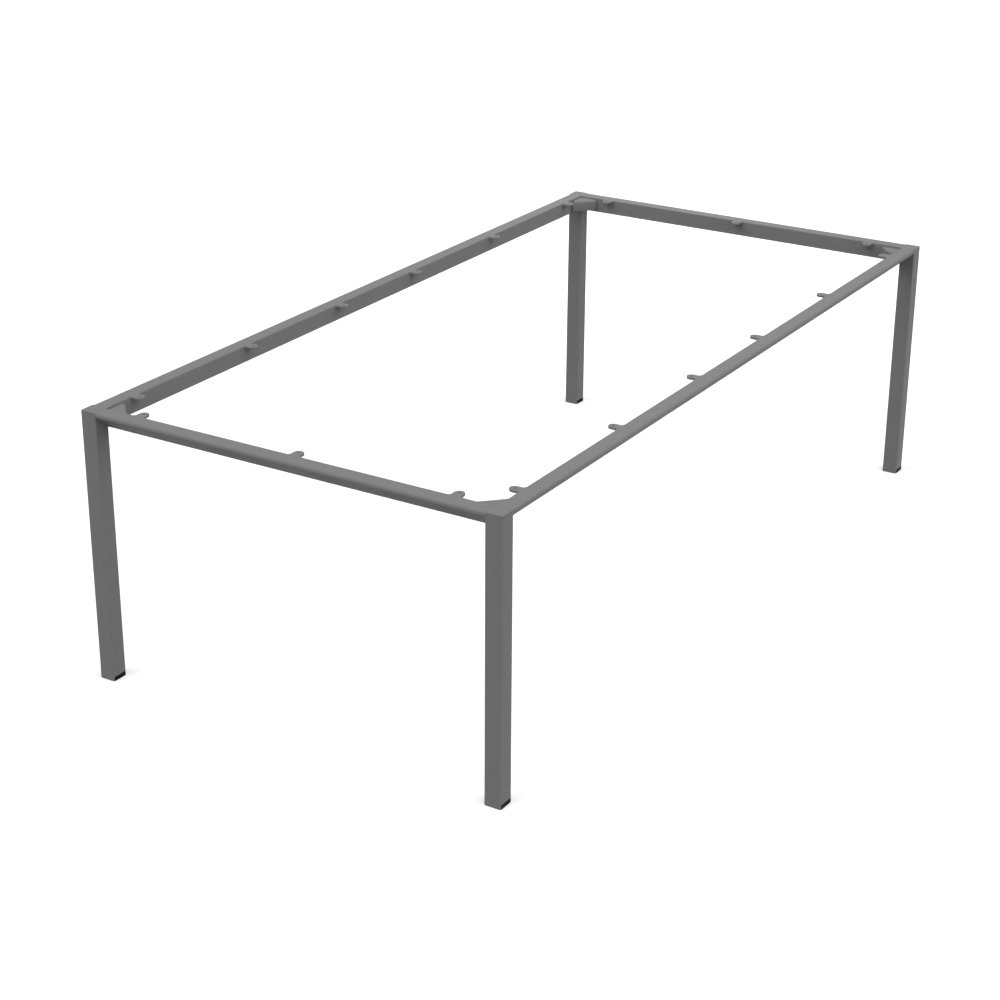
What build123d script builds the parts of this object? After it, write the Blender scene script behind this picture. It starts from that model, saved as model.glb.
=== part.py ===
from build123d import *

import os

# Table frame of powder-coated steel for a rectangular table top.
# +X runs along the long side, +Y along the short side and +Z up.
# The origin is on the floor under the middle of the frame. Millimetres.

# Overall size
frame_length = 2388.0
frame_width = 1188.0
frame_height = 723.0

# Legs: square tube
leg_size = 45.0
leg_wall = 2.0
leg_radius = 3.0

# Rails: a four-sided tube, shallow outside and deep inside, with a sloping underside
rail_width = 42.0
rail_flank = 11.0
rail_depth = 48.5
rail_wall = 2.0
rail_top_radius = 6.0
rail_flank_radius = 4.0
rail_inner_radius = 2.5

# Plates that close the tops of the legs
cap_thickness = 3.0
cap_clearance = 0.1

# Corner brackets: sheet folded down along its diagonal
bracket_reach = 68.0
bracket_seat = 52.0
bracket_gap = 6.0
bracket_drop = 5.0
bracket_height = 33.0
bracket_sheet = 4.0
bracket_bend = 2.0
bracket_relief = 5.0

# Screw tabs under the table top
tab_width = 26.0
tab_reach = 30.0
tab_thickness = 4.0
tab_flare = 5.0
tab_hole = 7.0
tab_corner_inset = 147.0
long_outer_spacing = 447.0
long_left_spacing = 405.0
long_right_spacing = 429.0
short_front_spacing = 435.0

# Plastic feet plugged into the legs
foot_pad = 1.0
foot_pad_inset = 0.6
foot_band = 11.5
foot_plug_height = 30.0
foot_plug_wall = 2.5
foot_floor = 3.0
foot_clearance = 0.1
fin_depth = 1.2
fin_thickness = 1.5
fin_spacing = 6.0
fin_count = 3
foot_rib = 2.0

# Places worked out from the sizes above
half_length = frame_length / 2
half_width = frame_width / 2
leg_bore = leg_size - 2 * leg_wall

# Corner names with the signs of X and Y and the turn that faces a piece inwards
corners = (
    ("front_left", -1, -1, 0),
    ("front_right", 1, -1, 90),
    ("back_right", 1, 1, 180),
    ("back_left", -1, 1, 270),
)


def prism(sketch, bottom, top):
    """A flat outline drawn up between two heights."""
    return Pos(0, 0, bottom) * extrude(sketch, top - bottom, dir=(0, 0, 1))


def make_rail(length):
    """Rail along X with its outer face on Y = 0 and its top on Z = 0."""
    outline = Plane.YZ * Polygon(
        (0, 0),
        (rail_width, 0),
        (rail_width, -rail_depth),
        (0, -rail_flank),
        align=None,
    )
    outline = fillet(outline.vertices().sort_by_distance((0, 0, 0))[0], rail_top_radius)
    outline = fillet(outline.vertices().sort_by_distance((0, 0, -rail_flank))[0], rail_flank_radius)
    outline = fillet(outline.vertices().group_by(Axis.Y)[-1], rail_inner_radius)
    bore = offset(outline, -rail_wall)
    return Pos(-length / 2, 0, 0) * extrude(outline - bore, length, dir=(1, 0, 0))


def make_leg():
    """Leg with its axis on Z, cut short at the foot on its +Y and -Y walls."""
    outline = RectangleRounded(leg_size, leg_size, leg_radius)
    bore = Rectangle(leg_bore, leg_bore)
    tube = prism(outline - bore, foot_pad, frame_height)
    cut = prism(Rectangle(leg_bore, 2 * leg_size), 0, foot_pad + foot_band)
    return tube - cut


def make_cap():
    """Plate inside the top of a leg, level with the leg's end."""
    side = leg_bore - 2 * cap_clearance
    return prism(Rectangle(side, side), frame_height - cap_thickness, frame_height)


def make_foot():
    """Finned plug with a pad to stand on and two cheeks that fill the leg's cuts."""
    pad_side = leg_size - 2 * foot_pad_inset
    fin_side = leg_bore - 2 * foot_clearance
    plug_side = fin_side - 2 * fin_depth
    hollow_side = plug_side - 2 * foot_plug_wall
    pad_corners = Rectangle(pad_side, pad_side).vertices()
    pad = prism(chamfer(pad_corners, leg_radius - foot_pad_inset), 0, foot_pad)
    cheeks = prism(Rectangle(fin_side, leg_size), foot_pad, foot_pad + foot_band - foot_clearance)
    plug = prism(Rectangle(plug_side, plug_side), foot_pad, foot_plug_height)
    foot = pad + cheeks + plug
    for index in range(fin_count):
        height = foot_plug_height - fin_thickness - index * fin_spacing
        foot += prism(Rectangle(fin_side, fin_side), height - fin_thickness, height)
    hollow = Rectangle(hollow_side, hollow_side)
    hollow -= Rectangle(hollow_side, foot_rib)
    hollow -= Rectangle(foot_rib, hollow_side)
    return foot - prism(hollow, foot_floor, foot_plug_height)


def make_bracket():
    """Bracket with its corner on the Z axis, its plate on the rails and its web clear of them."""
    bottom = -bracket_drop - bracket_height
    side = bracket_reach - bracket_gap
    behind_fold = bracket_reach - bracket_sheet * 2**0.5
    plate = Polygon(
        (0, 0),
        (bracket_seat, 0),
        (bracket_seat, bracket_gap),
        (side, bracket_gap),
        (bracket_gap, side),
        (bracket_gap, bracket_seat),
        (0, bracket_seat),
        align=None,
    )
    hollow = Polygon((0, 0), (behind_fold, 0), (0, behind_fold), align=None)
    hollow += Rectangle(bracket_reach, bracket_gap, align=Align.MIN)
    hollow += Rectangle(bracket_gap, bracket_reach, align=Align.MIN)
    body = prism(plate, bottom, -bracket_drop)
    outer_fold = body.edges().filter_by(Axis((0, 0, 0), (1, -1, 0))).group_by(Axis.Z)[-1]
    body = fillet(outer_fold, bracket_bend + bracket_sheet)
    body -= prism(hollow, bottom, -bracket_drop - bracket_sheet)
    relief = Pos(0, 0, bottom) * Rot(0, 0, 45) * Box(
        2 * bracket_relief,
        2 * bracket_relief,
        bracket_height,
        align=(Align.CENTER, Align.CENTER, Align.MIN),
    )
    return body - relief


def make_tab():
    """Lug standing in +Y from a rail's inner face on Y = 0, its top on Z = 0."""
    half = tab_width / 2
    shoulder = tab_reach - half
    foot = half + tab_flare
    outline = Line((foot, 0), (-foot, 0))
    outline += RadiusArc((-foot, 0), (-half, tab_flare), -tab_flare)
    outline += Line((-half, tab_flare), (-half, shoulder))
    outline += ThreePointArc((-half, shoulder), (0, tab_reach), (half, shoulder))
    outline += Line((half, shoulder), (half, tab_flare))
    outline += RadiusArc((half, tab_flare), (foot, 0), -tab_flare)
    plate = make_face(outline) - Pos(0, shoulder) * Circle(tab_hole / 2)
    return prism(plate, -tab_thickness, 0)


def place_rails():
    """The four rails between the legs, their outer faces level with the legs'."""
    long_rail = make_rail(frame_length - 2 * leg_size)
    short_rail = make_rail(frame_width - 2 * leg_size)
    top = frame_height
    return {
        "rail_front": Pos(0, -half_width, top) * long_rail,
        "rail_right": Pos(half_length, 0, top) * Rot(0, 0, 90) * short_rail,
        "rail_back": Pos(0, half_width, top) * Rot(0, 0, 180) * long_rail,
        "rail_left": Pos(-half_length, 0, top) * Rot(0, 0, -90) * short_rail,
    }


def place_corner_pieces():
    """Leg, cap, foot and bracket at each corner."""
    leg = make_leg()
    cap = make_cap()
    foot = make_foot()
    bracket = make_bracket()
    pieces = {}
    for name, side_x, side_y, turn in corners:
        axis = Pos(side_x * (half_length - leg_size / 2), side_y * (half_width - leg_size / 2), 0)
        inside = Pos(
            side_x * (half_length - rail_width),
            side_y * (half_width - rail_width),
            frame_height,
        )
        pieces["leg_" + name] = axis * leg
        pieces["leg_cap_" + name] = axis * cap
        pieces["foot_" + name] = axis * foot
        pieces["corner_bracket_" + name] = inside * Rot(0, 0, turn) * bracket
    return pieces


def place_tabs():
    """Six tabs on each long rail and three on each short one, level with their tops."""
    tab = make_tab()
    first_x = -half_length + tab_corner_inset
    second_x = first_x + long_outer_spacing
    third_x = second_x + long_left_spacing
    sixth_x = half_length - tab_corner_inset
    fifth_x = sixth_x - long_outer_spacing
    fourth_x = fifth_x - long_right_spacing
    first_y = -half_width + tab_corner_inset
    second_y = first_y + short_front_spacing
    third_y = half_width - tab_corner_inset
    face_x = half_length - rail_width
    face_y = half_width - rail_width
    pieces = {}
    for number, x in enumerate((first_x, second_x, third_x, fourth_x, fifth_x, sixth_x), start=1):
        pieces[f"tab_front_{number}"] = Pos(x, -face_y, frame_height) * tab
        pieces[f"tab_back_{number}"] = Pos(x, face_y, frame_height) * Rot(0, 0, 180) * tab
    for number, y in enumerate((first_y, second_y, third_y), start=1):
        pieces[f"tab_left_{number}"] = Pos(-face_x, y, frame_height) * Rot(0, 0, -90) * tab
        pieces[f"tab_right_{number}"] = Pos(face_x, y, frame_height) * Rot(0, 0, 90) * tab
    return pieces


os.makedirs("parts", exist_ok=True)
for node, piece in {**place_rails(), **place_corner_pieces(), **place_tabs()}.items():
    export_step(piece, f"parts/{node}.step")
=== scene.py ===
"""Looks, light and camera for a table frame of powder-coated steel."""

import math

import bpy
from mathutils import Matrix, Vector


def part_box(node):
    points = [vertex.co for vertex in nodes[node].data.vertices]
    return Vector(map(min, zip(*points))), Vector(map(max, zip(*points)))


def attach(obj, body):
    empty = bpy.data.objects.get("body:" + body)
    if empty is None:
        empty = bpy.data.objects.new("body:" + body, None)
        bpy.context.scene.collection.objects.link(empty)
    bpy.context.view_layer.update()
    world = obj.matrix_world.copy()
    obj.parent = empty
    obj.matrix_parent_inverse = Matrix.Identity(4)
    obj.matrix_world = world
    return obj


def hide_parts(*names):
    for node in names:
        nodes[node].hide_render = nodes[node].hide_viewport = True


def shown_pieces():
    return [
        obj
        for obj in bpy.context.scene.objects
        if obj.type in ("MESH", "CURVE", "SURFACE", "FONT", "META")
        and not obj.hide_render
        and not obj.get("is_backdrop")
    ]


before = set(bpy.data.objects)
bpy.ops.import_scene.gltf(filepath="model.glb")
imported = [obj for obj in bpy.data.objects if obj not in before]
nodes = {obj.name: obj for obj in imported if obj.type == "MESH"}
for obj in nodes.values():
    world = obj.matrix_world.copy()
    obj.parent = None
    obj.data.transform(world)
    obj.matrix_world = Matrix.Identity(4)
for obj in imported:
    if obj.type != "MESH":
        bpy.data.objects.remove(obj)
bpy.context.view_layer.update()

bl_info = {
    "name": "Table Frame",
    "version": (1, 1, 0),
    "blender": (4, 5, 0),
    "location": "3D View > Sidebar > Table Frame",
    "description": "Finishes a welded table frame and sets up its studio view",
    "category": "Object",
}

# Signs of X and Y at the four legs
leg_signs = ((-1, -1), (1, -1), (1, 1), (-1, 1))

# Way from each rail's tabs towards that rail
rail_sides = {
    "front": Vector((0.0, -1.0, 0.0)),
    "right": Vector((1.0, 0.0, 0.0)),
    "back": Vector((0.0, 1.0, 0.0)),
    "left": Vector((-1.0, 0.0, 0.0)),
}

# Points closer than this, in metres, count as one
same_place = 1e-5

# Least cosine between a way and the faces that are picked by it
facing = 0.99

# Turns that still count as flat, that count as a sharp edge, and that shade smooth
flat_turn = math.radians(0.5)
sharp_turn = math.radians(35.0)
smooth_turn = math.radians(30.0)

# How far a corner weld runs into the leg's wall, as a share of the leg's edge radius
weld_reach = 1.08

# Slopes in degrees of the cuts that round a weld's upper edge
weld_top_slopes = (7.5, 22.5, 37.5, 52.5, 67.5)

# Cuts that round a weld's lower edge, as shares of the turn to the rail's underside
weld_low_shares = (0.25, 0.75, 1.0)

# Segments across a softened edge
soft_segments = 2

# Fineness of the noise behind the patches and the grain, and how strongly the grain shows
patch_detail = 3.0
grain_detail = 2.0
grain_strength = 0.15

# The floor as the camera sees it, before the lift
floor_white = 0.95
floor_roughness = 0.9

# Wide lamps: name, azimuth and elevation in degrees, share of the lamps' strength
wide_lamps = (
    ("lamp_right", -60.0, 45.0, 0.87),
    ("lamp_back", 150.0, 45.0, 1.22),
    ("lamp_front", 238.0, 25.0, 0.85),
)
wide_lamp_height = 4.0

# Panel beyond the right end: middle, side, and the azimuth and elevation that it shines from
panel_place = (3.5, 1.6, 1.7)
panel_side = 1.5
panel_azimuth = 25.0
panel_elevation = 21.0

# Camera: place, way it looks, sensor width in millimetres, framing and reach
camera_place = (-4.7012, -2.7408, 2.5281)
camera_way = (0.77875, 0.49399, -0.38669)
sensor_width = 36.0
camera_shift = (0.0284, -0.0186)
camera_reach = (0.05, 200.0)


class TableFrameJoints(bpy.types.PropertyGroup):
    """Sizes of the ground welds and of the softened edges."""

    leg_round: bpy.props.FloatProperty(
        name="Leg Edge Radius",
        description="Radius of the legs' upright edges, which the corner welds fill",
        subtype="DISTANCE",
        unit="LENGTH",
        min=0.001,
        default=0.003,
    )
    rail_top_round: bpy.props.FloatProperty(
        name="Rail Top Radius",
        description="Radius of the rails' upper outer edge, which the corner welds carry on",
        subtype="DISTANCE",
        unit="LENGTH",
        min=0.001,
        default=0.006,
    )
    rail_low_round: bpy.props.FloatProperty(
        name="Rail Lower Radius",
        description="Radius between a rail's outer face and its sloping underside",
        subtype="DISTANCE",
        unit="LENGTH",
        min=0.001,
        default=0.004,
    )
    rail_flank: bpy.props.FloatProperty(
        name="Rail Flank",
        description="Height of a rail's upright outer face",
        subtype="DISTANCE",
        unit="LENGTH",
        min=0.005,
        default=0.011,
    )
    rail_slope: bpy.props.FloatProperty(
        name="Rail Slope",
        description="Fall of a rail's underside from level",
        subtype="ANGLE",
        unit="ROTATION",
        min=0.0,
        max=math.radians(80.0),
        default=math.radians(41.76),
    )
    tab_root: bpy.props.FloatProperty(
        name="Tab Root",
        description="How far the weld of a tab runs over the rounded edge of its rail",
        subtype="DISTANCE",
        unit="LENGTH",
        min=0.0005,
        default=0.0024,
    )
    tab_extra: bpy.props.FloatProperty(
        name="Tab Extra Thickness",
        description="How much thicker below a tab is shown than its solid",
        subtype="DISTANCE",
        unit="LENGTH",
        min=0.0001,
        default=0.0015,
    )
    seat_groove: bpy.props.FloatProperty(
        name="Seat Groove",
        description="Width of the open groove between a bracket's plate and its rails",
        subtype="DISTANCE",
        unit="LENGTH",
        min=0.0005,
        default=0.003,
    )
    edge_round: bpy.props.FloatProperty(
        name="Soft Edge",
        description="Width of the coated edges of tabs and brackets",
        subtype="DISTANCE",
        unit="LENGTH",
        min=0.0001,
        default=0.0004,
    )


class TableFrameFinish(bpy.types.PropertyGroup):
    """Colours and surface sizes of the frame's two finishes."""

    coat_colour: bpy.props.FloatVectorProperty(
        name="Coat Colour",
        description="Colour of the powder coat",
        subtype="COLOR",
        size=3,
        min=0.0,
        max=1.0,
        default=(0.18, 0.18, 0.182),
    )
    coat_roughness: bpy.props.FloatProperty(
        name="Coat Roughness",
        description="How matt the powder coat is",
        subtype="FACTOR",
        min=0.0,
        max=1.0,
        default=0.6,
    )
    coat_grain: bpy.props.FloatProperty(
        name="Coat Grain",
        description="Width of the dimples in the powder coat",
        subtype="DISTANCE",
        unit="LENGTH",
        min=0.0002,
        max=0.01,
        default=0.0012,
    )
    plastic_colour: bpy.props.FloatVectorProperty(
        name="Foot Colour",
        description="Colour of the plastic feet",
        subtype="COLOR",
        size=3,
        min=0.0,
        max=1.0,
        default=(0.004, 0.004, 0.004),
    )
    plastic_roughness: bpy.props.FloatProperty(
        name="Foot Roughness",
        description="How matt the plastic feet are",
        subtype="FACTOR",
        min=0.0,
        max=1.0,
        default=0.55,
    )
    plastic_grain: bpy.props.FloatProperty(
        name="Foot Grain",
        description="Width of the moulded grain on the feet",
        subtype="DISTANCE",
        unit="LENGTH",
        min=0.0002,
        max=0.01,
        default=0.0007,
    )


class TableFrameStage(bpy.types.PropertyGroup):
    """Floor, light and camera round the frame."""

    floor_size: bpy.props.FloatProperty(
        name="Floor Size",
        description="Length of one side of the floor",
        subtype="DISTANCE",
        unit="LENGTH",
        min=5.0,
        default=120.0,
    )
    floor_shade: bpy.props.FloatProperty(
        name="Floor Shade",
        description="How much light the floor throws back at the frame",
        subtype="FACTOR",
        min=0.0,
        max=1.0,
        default=0.1,
    )
    floor_lift: bpy.props.FloatProperty(
        name="Floor Lift",
        description="How far the floor's shadows are paled where they are seen directly",
        subtype="FACTOR",
        min=0.0,
        max=1.0,
        default=0.18,
    )
    sky_strength: bpy.props.FloatProperty(
        name="Sky Strength",
        description="Even light from all round",
        min=0.0,
        default=0.28,
    )
    lamp_strength: bpy.props.FloatProperty(
        name="Lamp Strength",
        description="Strength that the wide lamps share",
        min=0.0,
        default=1.45,
    )
    lamp_size: bpy.props.FloatProperty(
        name="Lamp Size",
        description="Width of the wide lamps as seen from the frame",
        subtype="ANGLE",
        unit="ROTATION",
        min=0.0,
        max=math.radians(180.0),
        default=math.radians(60.0),
    )
    glow_power: bpy.props.FloatProperty(
        name="Glow Power",
        description="Power of the panel that shines along the tops from the right end",
        unit="POWER",
        min=0.0,
        default=13.0,
    )
    lens: bpy.props.FloatProperty(
        name="Lens",
        description="Focal length of the camera",
        unit="CAMERA",
        min=10.0,
        default=76.236,
    )


def add_mesh(mesh):
    """Adds an object for a mesh, selected alone and active."""
    bpy.ops.object.select_all(action="DESELECT")
    piece = bpy.data.objects.new(mesh.name, mesh)
    bpy.context.collection.objects.link(piece)
    piece.select_set(True)
    bpy.context.view_layer.objects.active = piece


def new_piece(name):
    """Names the active object and puts it on the frame."""
    piece = bpy.context.active_object
    piece.name = name
    piece.data.name = name
    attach(piece, "root")
    return piece


def cut(point, normal):
    """Takes away all of the edited mesh that lies beyond a plane, and closes it."""
    bpy.ops.mesh.select_all(action="SELECT")
    bpy.ops.mesh.bisect(plane_co=point, plane_no=normal, use_fill=True, clear_outer=True)


def model_joint_weld(joints):
    """Weld in the corner that a leg's rounded edge leaves beside a rail's end.

    X runs in from the outer face, Y along the rail and Z up, from the rail's sharp corner.
    """
    side = joints.leg_round
    depth = joints.rail_flank + side
    bpy.ops.mesh.primitive_cube_add(size=1.0, location=(side / 2, -side / 2, -depth / 2))
    weld = bpy.context.active_object
    weld.scale = (side, side, depth)
    bpy.ops.object.transform_apply(location=True, rotation=True, scale=True)
    bpy.ops.object.mode_set(mode="EDIT")
    cut((weld_reach * side, 0.0, 0.0), (1.0, -1.0, 0.0))
    top = joints.rail_top_round
    for slope in weld_top_slopes:
        turn = math.radians(slope)
        outward = Vector((-math.cos(turn), 0.0, math.sin(turn)))
        cut(Vector((top, 0.0, -top)) + top * outward, outward)
    low = joints.rail_low_round
    steepest = math.pi / 2 - joints.rail_slope
    centre = Vector((low, 0.0, low * math.tan(steepest / 2) - joints.rail_flank))
    for share in weld_low_shares:
        outward = Vector((-math.cos(share * steepest), 0.0, -math.sin(share * steepest)))
        cut(centre + low * outward, outward)
    bpy.ops.object.mode_set(mode="OBJECT")
    return weld


def joint_places():
    """Name and matrix of each place where a rail's outer edge meets a leg."""
    low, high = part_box("leg_front_right")
    leg_side = high[0] - low[0]
    half_x = high[0]
    half_y = -low[1]
    top = high[2]
    places = []
    for sign_x, sign_y in leg_signs:
        end = "front" if sign_y < 0 else "back"
        side = "left" if sign_x < 0 else "right"
        along_x = Matrix((
            (0.0, -sign_x, 0.0, sign_x * (half_x - leg_side)),
            (-sign_y, 0.0, 0.0, sign_y * half_y),
            (0.0, 0.0, 1.0, top),
            (0.0, 0.0, 0.0, 1.0),
        ))
        along_y = Matrix((
            (-sign_x, 0.0, 0.0, sign_x * half_x),
            (0.0, -sign_y, 0.0, sign_y * (half_y - leg_side)),
            (0.0, 0.0, 1.0, top),
            (0.0, 0.0, 0.0, 1.0),
        ))
        places.append((f"joint_weld_{end}_rail_{side}", along_x))
        places.append((f"joint_weld_{side}_rail_{end}", along_y))
    return places


class TABLEFRAME_OT_joint_welds(bpy.types.Operator):
    """Fills the corners between legs and rails with ground welds"""

    bl_idname = "table_frame.joint_welds"
    bl_label = "Ground Corner Welds"

    def execute(self, context):
        bpy.ops.object.select_all(action="DESELECT")
        first = model_joint_weld(context.scene.table_frame_joints)
        shape = first.data.copy()
        for number, (name, place) in enumerate(joint_places()):
            if number:
                add_mesh(shape.copy())
            weld = new_piece(name)
            weld.data.transform(place)
            bpy.ops.object.mode_set(mode="EDIT")
            bpy.ops.mesh.select_all(action="SELECT")
            bpy.ops.mesh.normals_make_consistent(inside=False)
            bpy.ops.object.mode_set(mode="OBJECT")
            bpy.ops.object.shade_smooth_by_angle(angle=smooth_turn)
        bpy.data.meshes.remove(shape)
        return {"FINISHED"}


def copy_node(name):
    """Copy of a CAD piece with its flat faces whole, left in edit mode."""
    add_mesh(nodes[name].data.copy())
    piece = new_piece(name + "_coated")
    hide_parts(name)
    bpy.ops.object.mode_set(mode="EDIT")
    bpy.ops.mesh.select_all(action="SELECT")
    bpy.ops.mesh.remove_doubles(threshold=same_place)
    bpy.ops.mesh.dissolve_limited(angle_limit=flat_turn)
    bpy.ops.mesh.select_all(action="DESELECT")
    return piece


def soften_edges(piece, width):
    """Rounds a piece's sharp edges as a thick coat does."""
    bpy.ops.object.mode_set(mode="OBJECT")
    bevel = piece.modifiers.new("soft_edges", "BEVEL")
    bevel.width = width
    bevel.segments = soft_segments
    bevel.limit_method = "ANGLE"
    bevel.angle_limit = sharp_turn
    bpy.ops.object.modifier_apply(modifier=bevel.name)
    bpy.ops.object.shade_smooth_by_angle(angle=smooth_turn)


def select_far_faces(piece, way):
    """Selects the flat faces that lie farthest along a way, and nothing else."""
    mesh = piece.data
    bpy.ops.mesh.select_all(action="DESELECT")
    bpy.ops.object.mode_set(mode="OBJECT")
    reach = max(way.dot(vertex.co) for vertex in mesh.vertices)
    for face in mesh.polygons:
        turned = way.dot(face.normal) > facing
        face.select = turned and way.dot(face.center) > reach - same_place
    bpy.ops.object.mode_set(mode="EDIT")
    bpy.ops.mesh.select_mode(type="FACE")


class TABLEFRAME_OT_tabs(bpy.types.Operator):
    """Runs each tab's root over its rail's edge, thickens the tab and softens it"""

    bl_idname = "table_frame.tabs"
    bl_label = "Screw Tabs"

    def execute(self, context):
        joints = context.scene.table_frame_joints
        down = Vector((0.0, 0.0, -1.0))
        for name in nodes:
            if not name.startswith("tab_"):
                continue
            way = rail_sides[name.split("_")[1]]
            piece = copy_node(name)
            select_far_faces(piece, way)
            bpy.ops.mesh.extrude_region_move(
                TRANSFORM_OT_translate={"value": joints.tab_root * way}
            )
            select_far_faces(piece, down)
            bpy.ops.transform.translate(value=joints.tab_extra * down)
            soften_edges(piece, joints.edge_round)
        return {"FINISHED"}


def select_seat_edges(piece):
    """Selects the upper edges with which a bracket lies against its two rails."""
    bpy.ops.mesh.select_all(action="DESELECT")
    bpy.ops.object.mode_set(mode="OBJECT")
    points = [vertex.co for vertex in piece.data.vertices]
    outer = [max(abs(point[axis]) for point in points) - same_place for axis in (0, 1)]
    top = max(point.z for point in points) - same_place
    for edge in piece.data.edges:
        ends = [points[index] for index in edge.vertices]
        level = all(end.z > top for end in ends)
        seated = any(all(abs(end[axis]) > outer[axis] for end in ends) for axis in (0, 1))
        edge.select = level and seated
    bpy.ops.object.mode_set(mode="EDIT")
    bpy.ops.mesh.select_mode(type="EDGE")


class TABLEFRAME_OT_brackets(bpy.types.Operator):
    """Opens a groove beside each bracket's rails and softens the bracket's edges"""

    bl_idname = "table_frame.brackets"
    bl_label = "Corner Brackets"

    def execute(self, context):
        joints = context.scene.table_frame_joints
        for name in nodes:
            if not name.startswith("corner_bracket_"):
                continue
            piece = copy_node(name)
            select_seat_edges(piece)
            bpy.ops.mesh.bevel(offset=joints.seat_groove, segments=1, affect="EDGES")
            soften_edges(piece, joints.edge_round)
        return {"FINISHED"}


def grey(shade):
    """Colour socket's value for an even grey."""
    return (shade, shade, shade, 1.0)


def feed(tree, socket, value):
    """Links an output to a socket, or sets the socket to a plain value."""
    if isinstance(value, bpy.types.NodeSocket):
        tree.links.new(value, socket)
    else:
        socket.default_value = value


def noise(tree, vector, scale, detail):
    """Value of a noise texture."""
    node = tree.nodes.new("ShaderNodeTexNoise")
    feed(tree, node.inputs["Vector"], vector)
    feed(tree, node.inputs["Scale"], scale)
    feed(tree, node.inputs["Detail"], detail)
    return node.outputs["Fac"]


def calculate(tree, operation, *values):
    """Value of a Math node for an operation on sockets or numbers."""
    node = tree.nodes.new("ShaderNodeMath")
    node.operation = operation
    for socket, value in zip(node.inputs, values):
        feed(tree, socket, value)
    return node.outputs["Value"]


def make_grain_group():
    """Node group for a fine grained surface with faint patches in colour and sheen."""
    tree = bpy.data.node_groups.new("surface_grain", "ShaderNodeTree")
    for name, kind in (
        ("Vector", "NodeSocketVector"),
        ("Colour", "NodeSocketColor"),
        ("Colour Change", "NodeSocketFloat"),
        ("Roughness", "NodeSocketFloat"),
        ("Roughness Change", "NodeSocketFloat"),
        ("Patch Scale", "NodeSocketFloat"),
        ("Grain Scale", "NodeSocketFloat"),
    ):
        tree.interface.new_socket(name=name, in_out="INPUT", socket_type=kind)
    for name, kind in (
        ("Colour", "NodeSocketColor"),
        ("Roughness", "NodeSocketFloat"),
        ("Height", "NodeSocketFloat"),
    ):
        tree.interface.new_socket(name=name, in_out="OUTPUT", socket_type=kind)
    given = tree.nodes.new("NodeGroupInput").outputs
    result = tree.nodes.new("NodeGroupOutput").inputs
    patches = noise(tree, given["Vector"], given["Patch Scale"], patch_detail)
    change = calculate(tree, "SUBTRACT", patches, 0.5)
    shade = calculate(tree, "MULTIPLY_ADD", change, given["Colour Change"], 1.0)
    shaded = tree.nodes.new("ShaderNodeVectorMath")
    shaded.operation = "SCALE"
    feed(tree, shaded.inputs[0], given["Colour"])
    feed(tree, shaded.inputs["Scale"], shade)
    rough = calculate(
        tree, "MULTIPLY_ADD", change, given["Roughness Change"], given["Roughness"]
    )
    grain = noise(tree, given["Vector"], given["Grain Scale"], grain_detail)
    feed(tree, result["Colour"], shaded.outputs["Vector"])
    feed(tree, result["Roughness"], rough)
    feed(tree, result["Height"], grain)
    return tree


def new_material(name):
    """Empty node material with its output and Principled shader joined."""
    material = bpy.data.materials.new(name)
    material.use_nodes = True
    tree = material.node_tree
    tree.nodes.clear()
    shader = tree.nodes.new("ShaderNodeBsdfPrincipled")
    output = tree.nodes.new("ShaderNodeOutputMaterial")
    tree.links.new(shader.outputs["BSDF"], output.inputs["Surface"])
    return material, tree, shader


def make_grained_material(name, grain_group, values, sheen, bump_depth):
    """Material whose colour, roughness and bump come from the grain group."""
    material, tree, shader = new_material(name)
    shader.inputs["Specular IOR Level"].default_value = sheen
    place = tree.nodes.new("ShaderNodeTexCoord")
    surface = tree.nodes.new("ShaderNodeGroup")
    surface.node_tree = grain_group
    tree.links.new(place.outputs["Object"], surface.inputs["Vector"])
    for key, value in values.items():
        surface.inputs[key].default_value = value
    bump = tree.nodes.new("ShaderNodeBump")
    bump.inputs["Strength"].default_value = grain_strength
    bump.inputs["Distance"].default_value = bump_depth
    tree.links.new(surface.outputs["Colour"], shader.inputs["Base Color"])
    tree.links.new(surface.outputs["Roughness"], shader.inputs["Roughness"])
    tree.links.new(surface.outputs["Height"], bump.inputs["Height"])
    tree.links.new(bump.outputs["Normal"], shader.inputs["Normal"])
    return material


class TABLEFRAME_OT_finish(bpy.types.Operator):
    """Coats the steel pieces and gives the feet their plastic"""

    bl_idname = "table_frame.finish"
    bl_label = "Finish Steel and Feet"

    def execute(self, context):
        settings = context.scene.table_frame_finish
        grain_group = make_grain_group()
        coat = make_grained_material(
            "powder_coat",
            grain_group,
            {
                "Colour": (*settings.coat_colour, 1.0),
                "Colour Change": 0.12,
                "Roughness": settings.coat_roughness,
                "Roughness Change": 0.15,
                "Patch Scale": 9.0,
                "Grain Scale": 1.0 / settings.coat_grain,
            },
            sheen=0.12,
            bump_depth=0.0002,
        )
        plastic = make_grained_material(
            "foot_plastic",
            grain_group,
            {
                "Colour": (*settings.plastic_colour, 1.0),
                "Colour Change": 0.4,
                "Roughness": settings.plastic_roughness,
                "Roughness Change": 0.2,
                "Patch Scale": 60.0,
                "Grain Scale": 1.0 / settings.plastic_grain,
            },
            sheen=0.05,
            bump_depth=0.0001,
        )
        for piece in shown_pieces():
            piece.data.materials.clear()
            piece.data.materials.append(plastic if piece.name.startswith("foot_") else coat)
        return {"FINISHED"}


def seen_directly(tree):
    """Mask of the rays on which floor and sky show as plain white."""
    rays = tree.nodes.new("ShaderNodeLightPath").outputs
    seen = calculate(tree, "MAXIMUM", rays["Is Camera Ray"], rays["Is Glossy Ray"])
    return calculate(tree, "MAXIMUM", seen, rays["Is Transmission Ray"])


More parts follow.
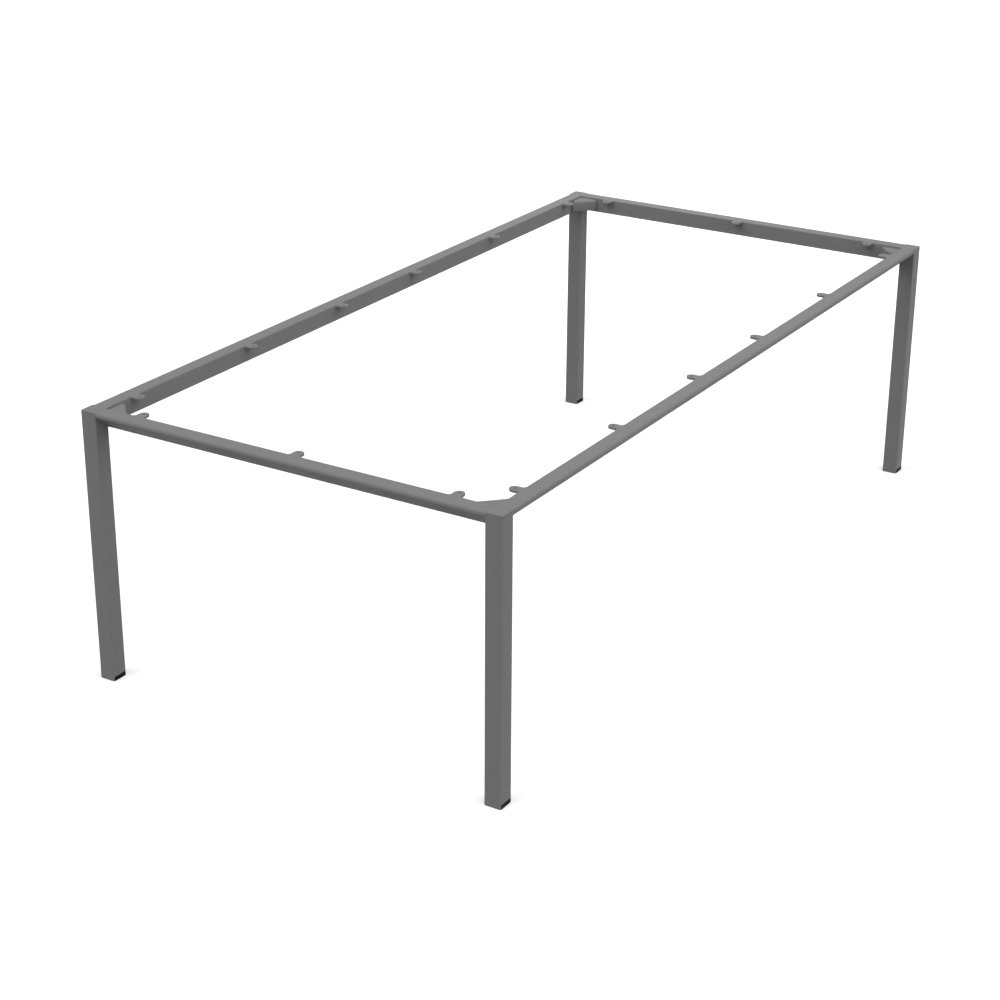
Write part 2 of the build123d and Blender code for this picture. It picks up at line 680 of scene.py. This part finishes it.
def make_floor(settings):
    """Pale floor that the camera sees as white."""
    bpy.ops.mesh.primitive_plane_add(size=settings.floor_size)
    floor = bpy.context.active_object
    floor.name = "floor"
    material, tree, shader = new_material("floor_white")
    seen = seen_directly(tree)
    shade = tree.nodes.new("ShaderNodeMix")
    shade.data_type = "RGBA"
    shade.inputs["A"].default_value = grey(settings.floor_shade)
    shade.inputs["B"].default_value = grey(floor_white)
    tree.links.new(seen, shade.inputs["Factor"])
    tree.links.new(shade.outputs["Result"], shader.inputs["Base Color"])
    shader.inputs["Roughness"].default_value = floor_roughness
    shader.inputs["Specular IOR Level"].default_value = 0.0
    shader.inputs["Emission Color"].default_value = grey(1.0)
    lift = calculate(tree, "MULTIPLY", seen, settings.floor_lift)
    tree.links.new(lift, shader.inputs["Emission Strength"])
    floor.data.materials.append(material)
    floor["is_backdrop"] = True


def make_sky(context, settings):
    """Even sky that the camera sees as white."""
    world = bpy.data.worlds.new("studio")
    world.use_nodes = True
    tree = world.node_tree
    tree.nodes.clear()
    output = tree.nodes.new("ShaderNodeOutputWorld")
    sky = tree.nodes.new("ShaderNodeBackground")
    sky.inputs["Color"].default_value = grey(1.0)
    sky.inputs["Strength"].default_value = settings.sky_strength
    white = tree.nodes.new("ShaderNodeBackground")
    white.inputs["Color"].default_value = grey(1.0)
    mix = tree.nodes.new("ShaderNodeMixShader")
    tree.links.new(seen_directly(tree), mix.inputs["Fac"])
    tree.links.new(sky.outputs["Background"], mix.inputs[1])
    tree.links.new(white.outputs["Background"], mix.inputs[2])
    tree.links.new(mix.outputs["Shader"], output.inputs["Surface"])
    context.scene.world = world


def aim(lamp, azimuth, elevation):
    """Turns a lamp to shine from an azimuth and elevation in degrees."""
    flat = math.cos(math.radians(elevation))
    source = Vector((
        flat * math.cos(math.radians(azimuth)),
        flat * math.sin(math.radians(azimuth)),
        math.sin(math.radians(elevation)),
    ))
    lamp.rotation_euler = (-source).to_track_quat("-Z", "Y").to_euler()


def make_lamps(context, settings):
    """Wide lamps on the right, at the back and in front, and a panel beyond the right end."""
    for name, azimuth, elevation, share in wide_lamps:
        bpy.ops.object.light_add(type="SUN", location=(0.0, 0.0, wide_lamp_height))
        lamp = context.active_object
        lamp.name = name
        lamp.data.energy = share * settings.lamp_strength
        lamp.data.angle = settings.lamp_size
        aim(lamp, azimuth, elevation)
    bpy.ops.object.light_add(type="AREA", location=panel_place)
    panel = context.active_object
    panel.name = "lamp_panel"
    panel.data.size = panel_side
    panel.data.energy = settings.glow_power
    panel.visible_camera = False
    aim(panel, panel_azimuth, panel_elevation)


def make_camera(context, settings):
    """Camera at the angle of the picture."""
    bpy.ops.object.camera_add(location=camera_place)
    camera = context.active_object
    camera.name = "camera"
    camera.rotation_euler = Vector(camera_way).to_track_quat("-Z", "Y").to_euler()
    camera.data.sensor_width = sensor_width
    camera.data.lens = settings.lens
    camera.data.shift_x, camera.data.shift_y = camera_shift
    camera.data.clip_start, camera.data.clip_end = camera_reach
    context.scene.camera = camera


class TABLEFRAME_OT_stage(bpy.types.Operator):
    """Adds the floor, the lamps and the camera"""

    bl_idname = "table_frame.stage"
    bl_label = "Floor, Light and Camera"

    def execute(self, context):
        settings = context.scene.table_frame_stage
        make_floor(settings)
        make_sky(context, settings)
        make_lamps(context, settings)
        make_camera(context, settings)
        return {"FINISHED"}


class TABLEFRAME_PT_panel(bpy.types.Panel):
    """Lists the steps and the values behind them."""

    bl_idname = "TABLEFRAME_PT_panel"
    bl_label = "Table Frame"
    bl_space_type = "VIEW_3D"
    bl_region_type = "UI"
    bl_category = "Table Frame"

    def draw(self, context):
        layout = self.layout
        scene = context.scene
        for name in groups:
            group = getattr(scene, name)
            box = layout.box()
            for key in group.__annotations__:
                box.prop(group, key)
        for step in steps:
            layout.operator(step.bl_idname)


steps = (
    TABLEFRAME_OT_joint_welds,
    TABLEFRAME_OT_tabs,
    TABLEFRAME_OT_brackets,
    TABLEFRAME_OT_finish,
    TABLEFRAME_OT_stage,
)
groups = {
    "table_frame_joints": TableFrameJoints,
    "table_frame_finish": TableFrameFinish,
    "table_frame_stage": TableFrameStage,
}
classes = (*groups.values(), *steps, TABLEFRAME_PT_panel)


def register():
    for cls in classes:
        bpy.utils.register_class(cls)
    for name, group in groups.items():
        setattr(bpy.types.Scene, name, bpy.props.PointerProperty(type=group))


def unregister():
    for name in groups:
        delattr(bpy.types.Scene, name)
    for cls in reversed(classes):
        bpy.utils.unregister_class(cls)


def main():
    register()
    bpy.context.scene.view_settings.view_transform = "Standard"
    bpy.ops.object.select_all(action="DESELECT")
    bpy.ops.table_frame.joint_welds()
    bpy.ops.table_frame.tabs()
    bpy.ops.table_frame.brackets()
    bpy.ops.table_frame.finish()
    bpy.ops.table_frame.stage()


if __name__ == "__main__":
    main()
